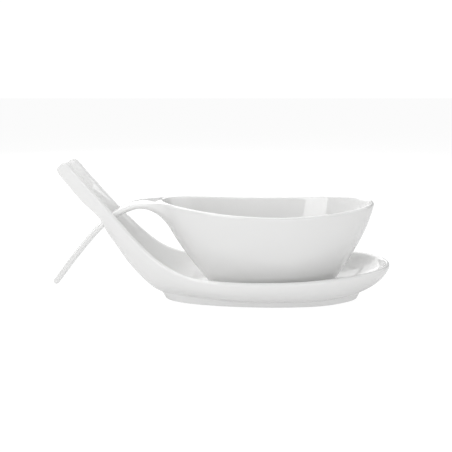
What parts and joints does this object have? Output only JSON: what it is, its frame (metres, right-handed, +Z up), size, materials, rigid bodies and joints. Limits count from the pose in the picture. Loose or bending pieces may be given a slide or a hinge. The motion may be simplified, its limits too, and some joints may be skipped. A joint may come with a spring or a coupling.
{
  "type": "sauce boat with saucer",
  "caption": "Glazed ceramic sauce boat with an arched tail handle, standing in an oval saucer whose upswept forked handle lets the tail pass between its prongs.",
  "frame": {"origin": "middle of the set's length and width, on the surface it stands on", "axes": "+X along the length, from the handles to the pouring end; +Y across; +Z up"},
  "size_m": [0.2616, 0.0968, 0.1091],
  "materials": {
    "saucer_glaze": "glossy white glaze over porcelain, unglazed ground underside of the foot ring",
    "boat_glaze": "glossy white glaze over porcelain, unglazed ground foot"
  },
  "bodies": {
    "saucer": {"saucer": "saucer_glaze"},
    "sauce_boat": {"sauce_boat": "boat_glaze"}
  },
  "joints": [
    {"name": "boat_lift", "type": "slide", "parent": "saucer", "child": "sauce_boat", "axis": [0, 0, 1], "range_m": [0, 0.1]}
  ]
}
